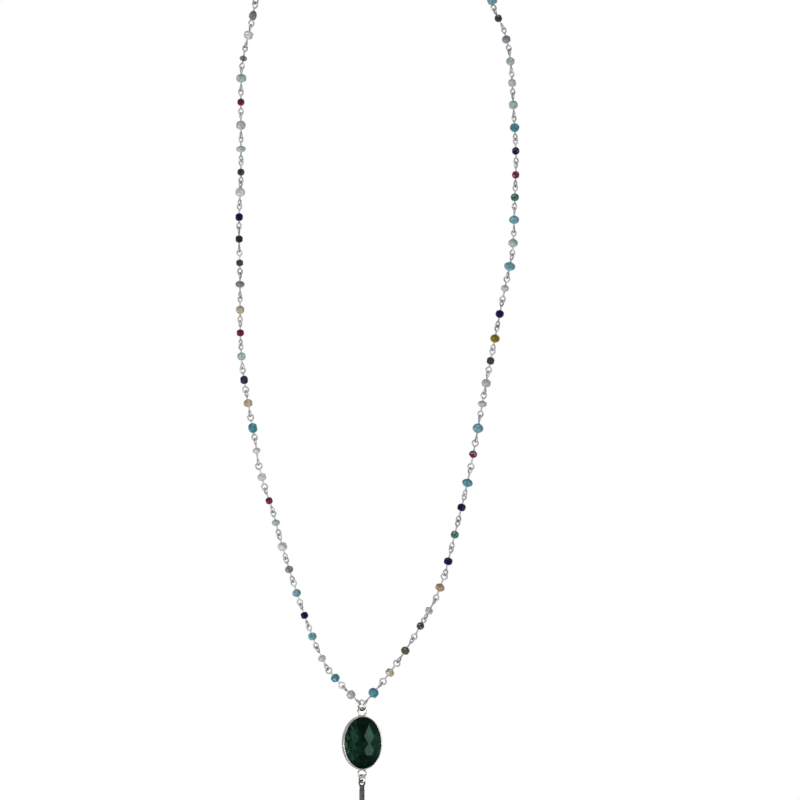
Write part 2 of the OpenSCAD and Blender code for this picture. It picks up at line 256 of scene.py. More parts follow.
# Facet shade from which a facet has a grey veil of painted reflection, and the most that the veil covers
REFLECTION_VEIL_FROM = 0.7
REFLECTION_VEIL_SHARE = 0.14
# Painted shade at the rim: the stone's colour falls to RIM_SHADE_DEPTH over these shares of the way out to
# its top and bottom, and by less at its sides, where the way counts for RIM_SIDEWAYS
RIM_SHADE_FADE = (0.45, 0.95)
RIM_SHADE_DEPTH = 0.4
RIM_SIDEWAYS = 0.55
# Lighter patches fade in over this many millimetres to the left of the stone's middle, and where the noise
# of their streaks lies between two values
PATCHES_X = -5.0
PATCH_RANGE = (0.46, 0.66)
# Thin marks: how strong they are, where they gather, from the stone's middle, half the size of that place,
# and the shares of it over which they fade
MARKS_SHARE = 0.36
MARKS_X = -2.3
MARKS_Z = 0.8
MARKS_W = 3.0
MARKS_H = 6.0
MARKS_FADE = (0.1, 1.2)

# Drop: width, sides, and its eye
DROP_W = 1.86
DROP_SIDES = 56
DROP_EYE_R = 1.0
DROP_EYE_WIRE = 0.6
# Outline of the drop: share of its half-width, height from the foot of its eye
DROP_PROFILE = [
    (0, 0.32), (0.5, 0.30), (0.72, 0.25), (0.9, 0.12), (0.98, -0.02), (1.0, -0.15), (1.0, -0.5),
    (0.97, -0.6), (0.89, -0.68), (0.87, -0.78), (0.87, -0.92), (0.9, -1.02), (0.97, -1.1), (1.0, -1.2),
    (1.0, -1.6), (1.0, -14.0), (1.0, -27.1), (0.97, -27.4), (0.88, -27.72), (0.7, -27.92), (0.4, -28.0),
    (0, -28.0),
]
# Clasp: radius, place along it, depth of its knurls as a share of the radius
CLASP_PROFILE = [
    (0.72, -6.0, 0), (0.88, -5.96, 0), (0.99, -5.8, 0), (1.6, -3.85, 0), (1.68, -3.6, 0), (1.69, -3.45, 0),
    (1.69, -3.2, 0), (1.6, -3.12, 0), (1.6, -2.96, 0), (1.69, -2.88, 0), (1.69, -0.24, 0), (1.64, -0.1, 0),
    (1.5, -0.06, 0), (1.5, 0.06, 0), (1.64, 0.1, 0), (1.69, 0.24, 0), (1.69, 0.5, 0), (1.69, 0.55, 0.06),
    (1.69, 2.75, 0.06), (1.69, 2.8, 0), (1.69, 2.88, 0), (1.6, 2.96, 0), (1.6, 3.12, 0), (1.69, 3.2, 0),
    (1.69, 3.45, 0), (1.68, 3.6, 0), (1.6, 3.85, 0), (0.99, 5.8, 0), (0.88, 5.96, 0), (0.72, 6.0, 0),
]
# The clasp has this many sides, and every third one is cut in by a knurl
CLASP_SIDES = 72
KNURL_STEP = 3

# Heights of the pendant's pieces
WIRE_GAP = RING_WIRE + PLAY + RING_SLACK
TOP_EYE_Z = RING_Z - TOP_RING_R + WIRE_GAP - TOP_EYE_R
BEZEL_Z = TOP_EYE_Z - TOP_EYE_R + EYE_SINK - BEZEL_H / 2
BOTTOM_EYE_Z = BEZEL_Z - BEZEL_H / 2 - BOTTOM_EYE_R + EYE_SINK
LOWER_RING_Z = BOTTOM_EYE_Z - BOTTOM_EYE_R + WIRE_GAP - LOWER_RING_R
DROP_EYE_Z = LOWER_RING_Z - LOWER_RING_R + (RING_WIRE + DROP_EYE_WIRE) / 2 + PLAY + DROP_SLACK - DROP_EYE_R

# Stones of the beads: dark, main and light colour, and in what each differs from bead_stone's usual stone
BEAD_STONES = {
    "turquoise": ("456672", "608590", "82a4ad", dict(veins=("56503f", 0.45))),
    "deep_turquoise": ("285661", "40747f", "629199", dict(veins=("3a4038", 0.5))),
    "amazonite": ("6c807d", "879b98", "a7b7b3", dict(roughness=(0.16, 0.32))),
    "sage": ("717e78", "8c9793", "a9b3ae", dict(roughness=(0.16, 0.32))),
    "moonstone": ("8f908f", "aeaeab", "cfcfcb", dict(roughness=(0.1, 0.2))),
    "warm_grey": ("807d77", "9a9994", "b4b2ac", {}),
    "cool_grey": ("7a7f7d", "989c9a", "b4b8b6", {}),
    "crystal": ("747577", "9f9f9f", "c8c8c7", dict(roughness=(0.05, 0.12))),
    "sand": ("7a7161", "988f7e", "b3a997", {}),
    "mauve": ("53515b", "706e77", "8c8a93", {}),
    "bronze": ("5a4d3b", "86765f", "a5947a", dict(roughness=(0.1, 0.22), ior=1.6)),
    "olive": ("3b3408", "635813", "8c7f33", dict(roughness=(0.08, 0.2))),
    "dark_olive": ("1f2016", "3a3b24", "5e5e48", {}),
    "green": ("163c2a", "2e5745", "517a69", dict(roughness=(0.08, 0.18))),
    "garnet": ("2a0712", "51162c", "752e46", dict(roughness=(0.06, 0.14), ior=1.48)),
    "indigo": ("06061a", "0d0d31", "22224d", dict(roughness=(0.08, 0.2), ior=1.3)),
    "night_blue": ("0b0c16", "1b1d2b", "3b3f50", dict(ior=1.3)),
    "black": ("080808", "181818", "343434", dict(roughness=(0.06, 0.14), ior=1.65)),
    "labradorite": ("2e3232", "5f6161", "929594", dict(lumps=0.6, roughness=(0.08, 0.2))),
}
# Colours of the beads are made this much stronger and darker than their codes
BEAD_SATURATION = 1.2
BEAD_VALUE = 0.85
# Half the width of a vein, as noise measures it, in a bead and in the pendant's stone
BEAD_VEIN = 0.022
STONE_VEIN = 0.03
# Values that most of a noise lies between, how strongly a relief shows, and the depth of fine marks in
# silver, in plated metal and in polished stone
NOISE_RANGE = (0.3, 0.7)
RELIEF = 0.6
SILVER_MARKS = 0.006
PLATED_MARKS = 0.01
STONE_MARKS = 0.004
# The top ring has painted shade up to this far below its middle and a painted highlight from this far above
# it
SHADED_BELOW = 1.2
HIGHLIGHT_ABOVE = 0.6

# Camera: its distance from the hanging front and the width of what it sees there in metres, the middle of
# that in millimetres, and the width of its sensor
CAMERA_DISTANCE = 3.0
FRAME_WIDTH = 0.288
FRAME_X = 9
FRAME_Z = -216.1
SENSOR_WIDTH = 36
SEEN_DEPTH = 40
# Soft boxes: azimuth, elevation, width and height in degrees, radiance, distance in metres
SOFT_BOXES = {
    "key": (-45, -22, 30, 28, 8, 1.5),
    "top": (10, 60, 30, 20, 3, 2.2),
    "strip": (46, -3, 14, 38, 5, 2.2),
}
# Height that they face, and watts that give a box of one square metre a radiance of one
LIT_Z = 0.7 * RING_Z
LIGHT_WATTS = 4
# Radiance of the surroundings in front of the object and behind it, and the ways between which it changes
DIM_SIDE = 0.38
BRIGHT_SIDE = 0.62
DIM_TO = -0.25
BRIGHT_FROM = 0.55
# Floor: height and radius in metres, sides, its own light
FLOOR_Z = -1.5
FLOOR_RADIUS = 20
FLOOR_SIDES = 128
FLOOR_GLOW = 0.25


# Curves

def smooth_way(points):
    """A smooth curve through the points, and the distance of each of its points from the first."""
    points = [Vector(p) for p in points]
    at = [0.0]
    for a, b in zip(points, points[1:]):
        at.append(at[-1] + (b - a).length)
    count = len(points)
    slopes = []
    for i in range(count):
        a, b = max(i - 1, 0), min(i + 1, count - 1)
        slopes.append((points[b] - points[a]) / (at[b] - at[a]))
    way = []
    for i in range(count - 1):
        span = at[i + 1] - at[i]
        for k in range(SPAN_STEPS):
            u = k / SPAN_STEPS
            way.append(
                points[i] * (2 * u**3 - 3 * u**2 + 1)
                + slopes[i] * span * (u**3 - 2 * u**2 + u)
                + points[i + 1] * (3 * u**2 - 2 * u**3)
                + slopes[i + 1] * span * (u**3 - u**2)
            )
    way.append(points[-1])
    along = [0.0]
    for a, b in zip(way, way[1:]):
        along.append(along[-1] + (b - a).length)
    return way, along


def point_at(way, along, distance):
    """The point of a curve at a distance from its start."""
    for i in range(len(along) - 1):
        if distance <= along[i + 1]:
            return way[i].lerp(way[i + 1], (distance - along[i]) / (along[i + 1] - along[i]))
    return way[-1]


def on_ring(angle):
    """A point on the top jump ring's wire."""
    across = TOP_RING_R * math.cos(angle)
    return Vector((
        PENDANT_X + across * math.cos(RING_TURN),
        -LOOP_DEPTH + across * math.sin(RING_TURN),
        RING_Z + TOP_RING_R * math.sin(angle),
    ))


def standing_along(start, towards, turn):
    """The matrix that stands a shape on start with its Z towards a point, turned about that line."""
    z = (towards - start).normalized()
    x = (Vector((0, 1, 0)) - z.y * z).normalized()
    y = z.cross(x)
    stand = Matrix((x, y, z)).transposed().to_4x4()
    return Matrix.Translation(start) @ stand @ Matrix.Rotation(turn, 4, "Z")


def strand_links(side, hook, front, chart, first_turn):
    """The links of a strand, from the ring to the clasp."""
    way, along = smooth_way(
        [on_ring(hook)]
        + [(x, -LOOP_DEPTH, z) for x, z in front]
        + [(side * x, y, z) for x, y, z in ROUND_NECK]
        + [(side * CLASP_REACH, 0, 0)]
    )
    stops = [sum(row[0] for row in chart[:i + 1]) for i in range(len(chart))]
    seen, total = len(chart), along[-1]
    step = (total - stops[-1]) / (NAPE_LINKS + 0.5)
    stops += [stops[-1] + (k + 1) * step for k in range(NAPE_LINKS)]
    joins = [0] + [(a + b) / 2 for a, b in zip(stops, stops[1:])] + [total]
    points = [point_at(way, along, s) for s in joins]
    links = []
    for i, stop in enumerate(stops):
        share = (stop - joins[i]) / (joins[i + 1] - joins[i])
        turn = 90 * (i % 2) + first_turn * max(0, 1 - i / TURN_LINKS)
        if i < seen:
            turn += sum(wave * math.sin(math.radians(step_on * i)) for wave, step_on in WANDER)
        turn -= EYE_SLANT * min(1, i / SLANT_LINKS, (len(stops) - 1 - i) / SLANT_LINKS)
        width, length, stone, cut = chart[i][1:] if i < seen else NAPE_CHART[i % len(NAPE_CHART)]
        links.append({
            "place": standing_along(points[i], points[i + 1], math.radians(turn)),
            "span": (points[i + 1] - points[i]).length,
            "bead": share * (points[i + 1] - points[i]).length,
            "hooked": (i == 0, i == len(stops) - 1),
            "width": width, "length": length, "stone": stone, "cut": cut,
        })
    return links, seen


# Meshes

def new_piece(name, bm, body, nodes, materials):
    """Makes a piece from a bmesh in millimetres, which rides on a body and stands for CAD nodes."""
    bmesh.ops.scale(bm, vec=(MM, MM, MM), verts=bm.verts)
    mesh = bpy.data.meshes.new(name)
    bm.to_mesh(mesh)
    bm.free()
    for material in materials:
        mesh.materials.append(material)
    piece = bpy.data.objects.new(name, mesh)
    bpy.context.scene.collection.objects.link(piece)
    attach(piece, body)
    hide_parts(*nodes)


def angles_round(count):
    """Angles of the corners of a ring."""
    return [2 * math.pi * k / count for k in range(count)]


def skin(bm, pairs):
    """Smooth faces between pairs of rings that have as many corners."""
    for a, b in pairs:
        for k in range(len(a)):
            n = (k + 1) % len(a)
            face = bm.faces.new((a[k], a[n], b[n], b[k]))
            face.smooth = True


def tube(bm, path, wire, sides=WIRE_SIDES, closed=False):
    """Sweeps a round wire along a path of points, with rounded ends where it isn't closed."""
    count = len(path)
    tangents = []
    for i in range(count):
        a = path[(i - 1) % count] if closed else path[max(i - 1, 0)]
        b = path[(i + 1) % count] if closed else path[min(i + 1, count - 1)]
        tangents.append((b - a).normalized())
    stations = [(i, 0, 1) for i in range(count)]
    if not closed:
        first = [(0, -past, size) for past, size in reversed(WIRE_END)]
        last = [(count - 1, past, size) for past, size in WIRE_END]
        stations = first + stations + last
    radius = wire / 2
    rings = []
    lead = tangents[0].orthogonal().normalized()
    before = tangents[0]
    for i, shift, size in stations:
        tangent = tangents[i]
        lead = before.rotation_difference(tangent) @ lead
        lead = (lead - lead.dot(tangent) * tangent).normalized()
        before = tangent
        side = tangent.cross(lead)
        centre = path[i] + tangent * shift * radius
        rings.append([
            bm.verts.new(centre + radius * size * (math.cos(a) * lead + math.sin(a) * side))
            for a in angles_round(sides)
        ])
    skin(bm, zip(rings, rings[1:]))
    if closed:
        skin(bm, [(rings[-1], rings[0])])
    else:
        for ring in (list(reversed(rings[0])), rings[-1]):
            face = bm.faces.new(ring)
            face.smooth = True


def lathe(bm, profile, sides, place):
    """Turns a profile of (radius, height) rows round the Z axis of a place."""
    rings = []
    for radius, height in profile:
        if radius == 0:
            rings.append([bm.verts.new(place @ Vector((0, 0, height)))])
            continue
        rings.append([
            bm.verts.new(place @ Vector((radius * math.cos(a), radius * math.sin(a), height)))
            for a in angles_round(sides)
        ])
    for a, b in zip(rings, rings[1:]):
        for k in range(sides):
            corners = [a[k % len(a)], a[(k + 1) % len(a)], b[(k + 1) % len(b)], b[k % len(b)]]
            face = bm.faces.new(list(dict.fromkeys(corners)))
            face.smooth = True


def arc_points(centre, radius, start, end, count, stretch=1.0):
    """Points of an arc in the XZ plane; angles are measured from +Z towards +X."""
    points = []
    for k in range(count + 1):
        angle = start + (end - start) * k / count
        points.append(centre + Vector((stretch * radius * math.sin(angle), 0, radius * math.cos(angle))))
    return points


def ring_of_wire(bm, centre, radius, wire, turn, seam=None):
    """A wire ring that stands upright, turned about Z; with a seam, it is a jump ring that is cut there."""
    stand = Matrix.Translation(centre) @ Matrix.Rotation(turn, 4, "Z")
    if seam is None:
        path = arc_points(Vector(), radius, 0, 2 * math.pi, RING_STEPS)[:-1]
    else:
        half_cut = SEAM_CUT * wire / radius
        path = arc_points(Vector(), radius, seam + half_cut, seam + 2 * math.pi - half_cut, RING_STEPS)
        for k, p in enumerate(path):
            p.y = SEAM_OFFSET * (k / RING_STEPS - 0.5)
    tube(bm, [stand @ p for p in path], wire, RING_SIDES, closed=seam is None)


# Bead links

def eye_path(reach, slim, draw):
    """The wire's way from a link's stem into one of its eyes, with the join at 0 and the bead below."""
    radius = LOOP_R * draw.uniform(*LOOP_SIZES)
    stretch = draw.uniform(*LOOP_WIDTHS)
    if slim:
        stretch = min(stretch, SLIM_LOOPS)
    centre = Vector((0, 0, reach - radius))
    apex = Vector((0, 0, centre.z - NECK_AT * radius))
    touch = math.pi - math.acos(1 / NECK_AT)
    loop = arc_points(centre, radius, touch, -touch, LOOP_STEPS, stretch)
    leg_out = (loop[0] - apex).normalized()
    leg_back = (loop[-1] - apex).normalized()
    bend = [apex - Vector((0, 0, down)) + out * leg_out for down, out in BEND_POINTS]
    tip = apex + TIP_GAP * leg_back
    path = bend + loop + [loop[-1].lerp(tip, 0.5), tip]
    swing = draw.uniform(-1, 1) * TIP_SWING
    for k, p in enumerate(path):
        p.y += swing * (k / len(path)) ** 2
    return path


def link_wire(bm, link, draw):
    """One link: a wire with an eye at both ends, through its bead."""
    flip = Matrix.Rotation(math.pi, 4, "Y")
    first_reach = RING_REACH if link["hooked"][0] else LOOP_REACH
    last_reach = CLASP_REACH_OUT if link["hooked"][1] else LOOP_REACH
    slim = abs(link["place"].translation.x) > OUTER_X
    first = [flip @ p for p in eye_path(first_reach, slim, draw)]
    last = [p + Vector((0, 0, link["span"])) for p in eye_path(last_reach, slim, draw)]
    path = list(reversed(first)) + last
    tube(bm, [link["place"] @ p for p in path], LINK_WIRE)


def cut_off(bm, normal, distance):
    """Cuts away what lies beyond a plane and closes the cut."""
    geometry = bm.verts[:] + bm.edges[:] + bm.faces[:]
    bmesh.ops.bisect_plane(bm, geom=geometry, dist=ON_PLANE, plane_co=normal * distance, plane_no=normal,
                           clear_outer=True)
    rim = [e for e in bm.edges if e.is_boundary]
    if rim:
        bmesh.ops.edgeloop_fill(bm, edges=rim)


def break_edges(bm, edges, width):
    """Gives edges a narrow flat face, as polishing does."""
    bmesh.ops.bevel(bm, geom=edges, offset=width, segments=1, affect="EDGES", clamp_overlap=True)


def bead_shape(cut, draw):
    """A faceted bead of radius 1 and half-length 1, drilled along Z, as lists of corners and faces."""
    rows, wobble, cap = BEAD_CUTS[cut]

    def uneven(most):
        return wobble * draw.uniform(-most, most)

    planes = []
    for row, (latitude, count, distance) in enumerate(rows):
        for side in ((1,) if latitude == 0 else (-1, 1)):
            for k in range(count):
                lat = math.radians(side * latitude + uneven(UNEVEN_LATITUDE))
                lon = 2 * math.pi * (k + 0.5 * (row % 2)) / count + uneven(UNEVEN_LONGITUDE)
                normal = Vector((math.cos(lat) * math.cos(lon), math.cos(lat) * math.sin(lon), math.sin(lat)))
                planes.append((normal, distance * (1 + uneven(UNEVEN_DISTANCE))))
    planes += [(Vector((0, 0, 1)), cap), (Vector((0, 0, -1)), cap)]
    bm = bmesh.new()
    bmesh.ops.create_cube(bm, size=2 * ROUGH_SIZE)
    for normal, distance in planes:
        cut_off(bm, normal, distance)
    for v in bm.verts:
        v.co.xy /= max(1, v.co.xy.length)
    break_edges(bm, bm.edges[:], EDGE_ROUNDING)
    angles = angles_round(BORE_SIDES)
    for side in (-1, 1):
        cap_face = max(bm.faces, key=lambda f: side * f.normal.z + side * f.calc_center_median().z)
        middle = cap_face.calc_center_median()
        rim = list(cap_face.edges)
        bmesh.ops.delete(bm, geom=[cap_face], context="FACES_ONLY")
        mouth, floor = [
            [bm.verts.new((BORE * math.cos(a), BORE * math.sin(a), middle.z - side * depth)) for a in angles]
            for depth in (0, BORE_DEPTH)
        ]
        around = [bm.edges.new((a, b)) for a, b in zip(mouth, mouth[1:] + mouth[:1])]
        bmesh.ops.bridge_loops(bm, edges=rim + around)
        for a, b, c, d in zip(mouth, mouth[1:] + mouth[:1], floor[1:] + floor[:1], floor):
            bm.faces.new((a, b, c, d))
        bm.faces.new(floor)
    bmesh.ops.recalc_face_normals(bm, faces=bm.faces[:])
    bm.verts.index_update()
    shape = ([v.co.copy() for v in bm.verts], [[v.index for v in f.verts] for f in bm.faces])
    bm.free()
    return shape


def add_bead(bm, link, shape, material, draw):
    """Sets a bead on its link, turned at random and a little askew."""
    corners, faces = shape
    middle = link["place"] @ Matrix.Translation((0, 0, link["bead"]))
    x = middle.translation.x
    room = RIGHT_LIMIT - x if x > 0 else LEFT_LIMIT + x
    radius = max(min(FULLNESS * link["width"] / 2, room), link["width"] / 2)
    size = Matrix.Diagonal((radius, radius, FULLNESS * link["length"] / 2, 1))
    place = (
        middle
        @ Matrix.Rotation(draw.uniform(0, 2 * math.pi), 4, "Z")
        @ Matrix.Rotation(math.radians(draw.uniform(-BEAD_TILT, BEAD_TILT)), 4, "X")
        @ Matrix.Rotation(draw.uniform(0, 2 * math.pi), 4, "Z") @ size
    )
    verts = [bm.verts.new(place @ c) for c in corners]
    for face in faces:
        new_face = bm.faces.new([verts[k] for k in face])
        new_face.material_index = material


def cut_at_random(draw):
    """Some shapes of every cut, to pick from."""
    return {cut: [bead_shape(cut, draw) for _ in range(SHAPES_PER_CUT)] for cut in BEAD_CUTS}


# Pendant

def oval_offset(angle, inward):
    """A point of the bezel's outline, moved inward at a right angle to it."""
    a, b = BEZEL_W / 2, BEZEL_H / 2
    normal = Vector((math.cos(angle) / a, 0, math.sin(angle) / b)).normalized()
    return Vector((a * math.cos(angle), 0, b * math.sin(angle))) - inward * normal


def bezel_wall(bm, place):
    """The bezel's wall: a strip bent round the stone, with its front and back edges rolled in."""
    rings = []
    for angle in angles_round(BEZEL_STEPS):
        dent = sum(depth * math.sin(waves * angle + start) for depth, waves, start in DENTS)
        ring = []
        for inward, y in BEZEL_PROFILE:
            p = oval_offset(angle, inward + (DENT_ROOM + dent if inward < OUTER_SIDE else dent / 2))
            ring.append(bm.verts.new(place @ Vector((p.x, y * (1 + dent), p.z))))
        rings.append(ring)
    skin(bm, zip(rings, rings[1:] + rings[:1]))


def solder_saddle(bm, place, size):
    """A low mound of solder at the foot of an eye, which stands up along the place's Z."""
    angles = [math.pi / 2 * k / SADDLE_STEPS for k in range(SADDLE_STEPS)]
    profile = [SADDLE_FOOT] + [(math.cos(a), math.sin(a)) for a in angles] + [(0, 1)]
    lathe(bm, profile, SADDLE_SIDES, place @ Matrix.Diagonal((*size, 1)))


def dome_plane(u, v, side):
    """The plane that touches the stone's dome over a place given in shares of its half-axes."""
    a, b = STONE_A, STONE_B
    rise = STONE_D / 2 - STONE_EDGE
    height = STONE_EDGE + rise * (1 - u * u - v * v)
    normal = Vector((2 * rise * u / a, -side, 2 * rise * v / b))
    point = Vector((u * a, -side * height, v * b))
    length = normal.length
    return normal / length, point.dot(normal) / length


def cut_stone(place, draw):
    """The oval stone: a checkerboard of flat facets over both of its domes, each made lighter or darker by
    painted light.
    """
    shape = bmesh.new()
    angles = angles_round(STONE_STEPS)
    front, back = [
        [shape.verts.new((STONE_A * math.cos(a), y, STONE_B * math.sin(a))) for a in angles]
        for y in (-STONE_D / 2 - SLAB_SPARE, STONE_D / 2 + SLAB_SPARE)
    ]
    skin(shape, [(front, back)])
    shape.faces.new(list(reversed(front)))
    shape.faces.new(back)
    bmesh.ops.recalc_face_normals(shape, faces=shape.faces[:])
    for side in (1, -1):
        for j, v in FACET_ROWS.items():
            for i in FACET_COLUMNS:
                if (i + j) % 2:
                    continue
                u = side * FACET_U + i * FACET_STEP
                jitter = FACET_JITTER if (i, j) not in LIT_FACETS else 0
                u += jitter * draw.uniform(-1, 1)
                v_here = v + jitter * draw.uniform(-1, 1)
                if u * u + v_here * v_here < FACET_REACH:
                    normal, distance = dome_plane(u, v_here, side)
                    cut_off(shape, normal, distance)
    crown = [e for e in shape.edges if all(abs(f.normal.y) > CROWN_SLOPE for f in e.link_faces)]
    break_edges(shape, crown, FACET_BEVEL)
    # Painted light: each facet gets its own painted shade, lighter the further out it lies sideways and
    # otherwise at random, and the broken edges get a painted highlight
    depth = shape.loops.layers.float_color.new(FACET_SHADE_LAYER)
    for face in shape.faces:
        face.smooth = abs(face.normal.y) < WALL_SLOPE
        sideways = min(1, abs(face.calc_center_median().x) / STONE_A)
        share = SIDE_SHARE * sideways + (1 - SIDE_SHARE) * draw.random()
        facet_shade = FACET_SHADES[0] + (FACET_SHADES[1] - FACET_SHADES[0]) * share
        if face.calc_area() < FACET_EDGE_AREA:
            facet_shade = EDGE_HIGHLIGHT
        for loop in face.loops:
            loop[depth] = (facet_shade, facet_shade, facet_shade, 1)
    shape.transform(place)
    return shape


# Materials

def tint(code):
    """A colour written as six hex digits, as the linear values that shaders take."""
    values = [int(code[k:k + 2], 16) / 255 for k in (0, 2, 4)]
    return tuple(v / 12.92 if v <= 0.04045 else ((v + 0.055) / 1.055) ** 2.4 for v in values) + (1.0,)


def new_material(name, **settings):
    """A material with a principled shader, whose sockets take the settings."""
    material = bpy.data.materials.new(name)
    material.use_nodes = True
    shader = material.node_tree.nodes["Principled BSDF"]
    for key, value in settings.items():
        shader.inputs[key.replace("_", " ").title().replace("Ior", "IOR")].default_value = value
    return material, shader


def add_node(material, kind, sockets=(), **settings):
    """A node with its settings and its sockets, given as (name, value or other node's output) pairs."""
    tree = material.node_tree
    node = tree.nodes.new(kind)
    for key, value in settings.items():
        setattr(node, key, value)
    for key, value in sockets:
        if isinstance(value, bpy.types.NodeSocket):
            tree.links.new(value, node.inputs[key])
        else:
            node.inputs[key].default_value = value
    return node


def worked_out(material, operation, *values):
    """What a math node makes of values."""
    return add_node(material, "ShaderNodeMath", enumerate(values), operation=operation).outputs[0]


def object_place(material, shift=(0, 0, 0), stretch=(1, 1, 1)):
    """Coordinates in the object's own space, in millimetres, measured from a place on it."""
    where = add_node(material, "ShaderNodeTexCoord")
    sockets = [
        ("Vector", where.outputs["Object"]),
        ("Location", [-s * k for s, k in zip(shift, stretch)]),
        ("Scale", [k / MM for k in stretch]),
    ]
    return add_node(material, "ShaderNodeMapping", sockets).outputs["Vector"]


def cloudy(material, place, scale, detail=4.0, roughness=0.55, distortion=0.0):
    """Noise between 0 and 1; scale is the number of its lumps per millimetre."""
    sockets = [("Vector", place), ("Scale", scale), ("Detail", detail), ("Roughness", roughness),
               ("Distortion", distortion)]
    return add_node(material, "ShaderNodeTexNoise", sockets).outputs["Fac"]


def ranged(material, value, low, high, to_low=0.0, to_high=1.0):
    """Maps a value from one range to another, smoothly and held at both ends."""
    sockets = [("Value", value), ("From Min", low), ("From Max", high)]
    sockets += [("To Min", to_low), ("To Max", to_high)]
    node = add_node(material, "ShaderNodeMapRange", sockets, interpolation_type="SMOOTHSTEP")
    return node.outputs["Result"]


def ramp(material, value, stops):
    """Colours along a value, given as (place, hex colour) stops."""
    node = add_node(material, "ShaderNodeValToRGB", [("Fac", value)])
    elements = node.color_ramp.elements
    while len(elements) < len(stops):
        elements.new(0.5)
    for element, (place, code) in zip(elements, stops):
        element.position = place
        element.color = tint(code)
    return node.outputs["Color"]


def mixed(material, share, a, b, blend="MIX"):
    """Colour a with a share of colour b over it."""
    node = add_node(material, "ShaderNodeMix", data_type="RGBA", blend_type=blend)
    factor = [s for s in node.inputs if s.type == "VALUE"][0]
    colours = [s for s in node.inputs if s.type == "RGBA"]
    for socket, value in ((factor, share), (colours[0], a), (colours[1], b)):
        if isinstance(value, bpy.types.NodeSocket):
            material.node_tree.links.new(value, socket)
        else:
            socket.default_value = value
    return [s for s in node.outputs if s.type == "RGBA"][0]


def finished(material, shader, colour, roughness, relief=None, depth=0.0):
    """Joins a material's colour, roughness and relief to its shader; depth is in millimetres."""
    links = material.node_tree.links
    links.new(colour, shader.inputs["Base Color"])
    links.new(roughness, shader.inputs["Roughness"])
    if relief is not None:
        sockets = [("Height", relief), ("Strength", RELIEF), ("Distance", depth * MM)]
        bump = add_node(material, "ShaderNodeBump", sockets)
        links.new(bump.outputs["Normal"], shader.inputs["Normal"])
    return material


def coordinate(material, place, axis):
    """One coordinate of a place."""
    return add_node(material, "ShaderNodeSeparateXYZ", [("Vector", place)]).outputs[axis]


def from_middle(material, x, z, half_width, half_height):
    """Distance from a line through the stone from front to back, as a share of an oval's half-axes."""
    shares = (1 / half_width, 0, 1 / half_height)
    place = object_place(material, shift=(PENDANT_X + x, 0, BEZEL_Z + z), stretch=shares)
    return add_node(material, "ShaderNodeVectorMath", [(0, place)], operation="LENGTH").outputs["Value"]


def thin_lines(material, place, scale, width, strength, **how_noisy):
    """Lines where a noise passes through its middle value: strength on the line, and 0 at its edges."""
    lines = cloudy(material, place, scale, **how_noisy)
    off = worked_out(material, "ABSOLUTE", worked_out(material, "SUBTRACT", lines, 0.5))
    return ranged(material, off, 0.0, width, strength, 0.0)


def silver(name, dark, bright, smooth, worn, painted_shade_at=None):
    """Silver with fine draw marks, dark in soft spots of tarnish; a ring instead has a painted highlight
    above the height painted_shade_at and painted shade below it."""
    material, shader = new_material(name, metallic=1.0)
    place = object_place(material)
    if painted_shade_at is None:
        tarnish = cloudy(material, place, 0.35, detail=5)
        colour = ramp(material, tarnish, [(0.30, dark), (0.58, bright)])
    else:
        # Painted shade below painted_shade_at and a painted highlight above it, by height
        height = coordinate(material, place, "Z")
        highlight_share = ranged(material, height, painted_shade_at - SHADED_BELOW, painted_shade_at + HIGHLIGHT_ABOVE)
        colour = mixed(material, highlight_share, tint(dark), tint(bright))
    marks = cloudy(material, place, 9.0, detail=3, roughness=0.7)
    roughness = ranged(material, marks, 0.35, 0.7, smooth, worn)
    return finished(material, shader, colour, roughness, marks, SILVER_MARKS)


def gunmetal():
    """Dark plated metal, brushed along its length."""
    material, shader = new_material("gunmetal", metallic=1.0)
    brushed = object_place(material, stretch=(1, 1, 0.04))
    lines = cloudy(material, brushed, 7.0, detail=3, roughness=0.6)
    clouds = cloudy(material, object_place(material), 0.5, detail=4)
    colour = ramp(material, clouds, [(0.3, "3e3e43"), (0.7, "515157")])
    roughness = ranged(material, lines, *NOISE_RANGE, 0.36, 0.52)
    return finished(material, shader, colour, roughness, lines, PLATED_MARKS)


def bead_stone(name, dark, main, light, lumps=0.8, roughness=(0.14, 0.3), veins=None, ior=1.45):
    """Polished stone with soft clouds of colour, and veins where the stone has them."""
    material, shader = new_material("stone_" + name, ior=ior)
    place = object_place(material)
    clouds = cloudy(material, place, lumps, detail=5, roughness=0.6, distortion=0.4)
    colour = ramp(material, clouds, [(0.30, dark), (0.48, main), (0.70, light)])
    if veins:
        vein_colour, vein_share = veins
        share = thin_lines(material, place, lumps * 0.7, BEAD_VEIN, vein_share, detail=3, distortion=1.6)
        colour = mixed(material, share, colour, tint(vein_colour))
    sockets = [("Saturation", BEAD_SATURATION), ("Value", BEAD_VALUE), ("Color", colour)]
    colour = add_node(material, "ShaderNodeHueSaturation", sockets).outputs["Color"]
    polish = cloudy(material, place, 5.0, detail=3)
    gloss = ranged(material, polish, *NOISE_RANGE, *roughness)
    return finished(material, shader, colour, gloss, polish, STONE_MARKS)


